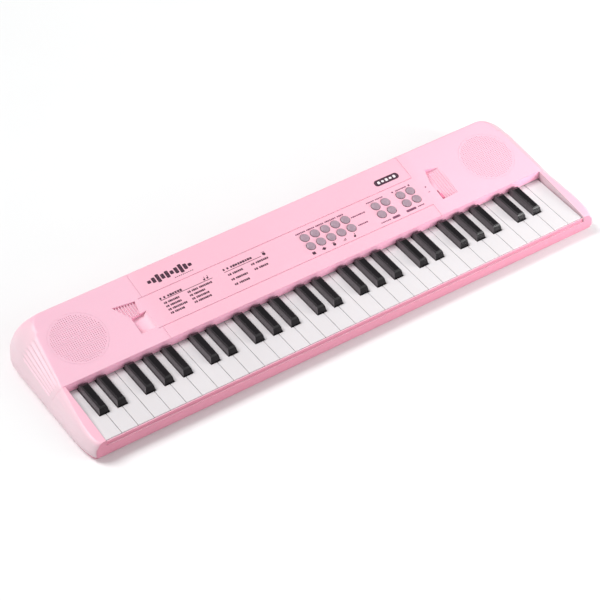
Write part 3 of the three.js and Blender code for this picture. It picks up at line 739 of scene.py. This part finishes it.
# ---------------------------------------------------------------- finish the model
# Keys are named by octave and note, as key_1_c, and combs as key_1_black_pair.
KEYS = [name for name in NODES if name.startswith("key_") and name[4].isdigit()]
BLACK_COMBS = [name for name in KEYS if "_black_" in name]
WHITE_KEYS = [name for name in KEYS if name not in BLACK_COMBS]
WHITE_EDGE = 0.35
BLACK_EDGE = 0.4
KNOB_EDGE = 0.3

pink = pink_plastic()
bright_steel = steel()
pale_ink = ink("pale_ink", PALE_GREY)

paint(pink, "upper_case", "speaker_grille_left", "speaker_grille_right")
paint(base_plastic(), "lower_case", "battery_cover")
paint(white_key_plastic(), *WHITE_KEYS)
paint(black_key_plastic(), *BLACK_COMBS)
paint(button_rubber(), "tone_button_pad", "rhythm_button_pad", "volume_button_pad")
paint(circuit_board(), "button_board", "key_contact_board", "main_board")
paint(contact_mat(), "key_contact_mat")
paint(bright_steel, "battery_spring_contact", "battery_plate_contact")
paint(plain_plastic("speaker_cone_paper", CONE_BLACK, rough=0.75), "speaker_left", "speaker_right")
paint(plain_plastic("socket_plastic", SOCKET_BLACK, rough=0.35), "power_socket", "microphone_jack")
paint(plain_plastic("switch_plastic", SWITCH_PINK, rough=0.4), "power_switch_knob")

for key in WHITE_KEYS:
    round_edges(NODES[key], WHITE_EDGE)
for comb in BLACK_COMBS:
    round_edges(NODES[comb], BLACK_EDGE)
round_edges(NODES["power_switch_knob"], KNOB_EDGE)
for node in NODES.values():
    if not node.modifiers:
        weld(node)
        smooth(node)

fine_grille("grille_left", -1, pink)
fine_grille("grille_right", 1, pink)
add_printing(pale_ink)
add_underside(bright_steel, pale_ink)

# ---------------------------------------------------------------- floor, light and camera
CENTRE = (CAD_LOW + CAD_HIGH) / 2
FLOOR_REACH = 12
FLOOR_GAP = 0.02


def floor():
    """A sheet of white paper just under the feet."""
    shader = Shader("paper_floor")
    shader.set(Base_Color=cloudy(shader, 6, PAPER, PAPER_PALE))
    material = shader.finish(rough=0.8, spread=0.05, grain_scale=400, grain=0.1)
    bm = bmesh.new()
    bmesh.ops.create_grid(bm, x_segments=1, y_segments=1, size=FLOOR_REACH)
    obj = add_mesh("floor", bm, material)
    obj.location.z = CAD_LOW.z - FLOOR_GAP * MM


def shine(obj, direction):
    """Turns a light so that it shines from the given direction."""
    obj.rotation_mode = "QUATERNION"
    obj.rotation_quaternion = (-direction).to_track_quat("-Z", "Y")


def area_light(name, towards, distance, size, watts):
    """A square soft light that faces the object from the given direction."""
    data = bpy.data.lights.new(name, "AREA")
    data.size = size
    data.energy = watts
    direction = Vector(towards).normalized()
    obj = add_object(name, data)
    obj.location = CENTRE + direction * distance
    obj.visible_camera = False
    shine(obj, direction)


def sun(towards, spread, strength):
    """The main soft light, the same on the keyboard and on the whole floor."""
    data = bpy.data.lights.new("key_light", "SUN")
    data.angle = spread
    data.energy = strength
    shine(add_object("key_light", data), Vector(towards))


def world(strength, behind):
    """A studio that looks white to the camera and lights the keyboard a little more from behind."""
    scene_world = bpy.data.worlds.new("studio")
    scene_world.use_nodes = True
    tree = scene_world.node_tree
    direction = tree.nodes.new("ShaderNodeSeparateXYZ")
    tree.links.new(tree.nodes.new("ShaderNodeTexCoord").outputs["Generated"], direction.inputs[0])
    level = new_node(
        tree, "ShaderNodeMapRange",
        From_Min=-1, From_Max=1, To_Min=strength - behind, To_Max=strength + behind,
    )
    tree.links.new(direction.outputs["Y"], level.inputs["Value"])
    seen = new_node(tree, "ShaderNodeMix", B=1)
    tree.links.new(tree.nodes.new("ShaderNodeLightPath").outputs["Is Camera Ray"], seen.inputs["Factor"])
    tree.links.new(level.outputs["Result"], seen.inputs["A"])
    background = tree.nodes["Background"]
    background.inputs["Color"].default_value = (1, 1, 1, 1)
    tree.links.new(seen.outputs["Result"], background.inputs["Strength"])
    bpy.context.scene.world = scene_world


AZIMUTH = math.radians(-33.83)
ELEVATION = math.radians(43.12)
AIM = Vector((CENTRE.x - 23.7 * MM, CENTRE.y - 24 * MM, CAD_LOW.z + 20 * MM))
DISTANCE = 2.0493
LENS = 141.9
SENSOR = 36


def camera():
    data = bpy.data.cameras.new("camera")
    data.lens = LENS
    data.sensor_width = SENSOR
    data.clip_start = 0.05
    data.clip_end = 60
    back = Vector((
        math.sin(AZIMUTH) * math.cos(ELEVATION),
        -math.cos(AZIMUTH) * math.cos(ELEVATION),
        math.sin(ELEVATION),
    ))
    right = Vector((0, 0, 1)).cross(back).normalized()
    turn = Matrix((right, back.cross(right), back)).transposed().to_4x4()
    obj = add_object("camera", data)
    obj.matrix_world = Matrix.Translation(AIM + back * DISTANCE) @ turn
    bpy.context.scene.camera = obj


floor()
world(strength=0.44, behind=0.05)
sun(towards=(-0.42, 0.38, 0.82), spread=math.radians(30), strength=2.62)
area_light("front_light", towards=(0.42, -0.78, 0.46), distance=1.25, size=0.8, watts=4.6)
area_light("front_fill", towards=(0.5, -0.45, 0.13), distance=0.69, size=0.2, watts=2.4)
camera()
bpy.context.scene.view_settings.view_transform = "Standard"
bpy.context.scene.view_settings.look = "None"
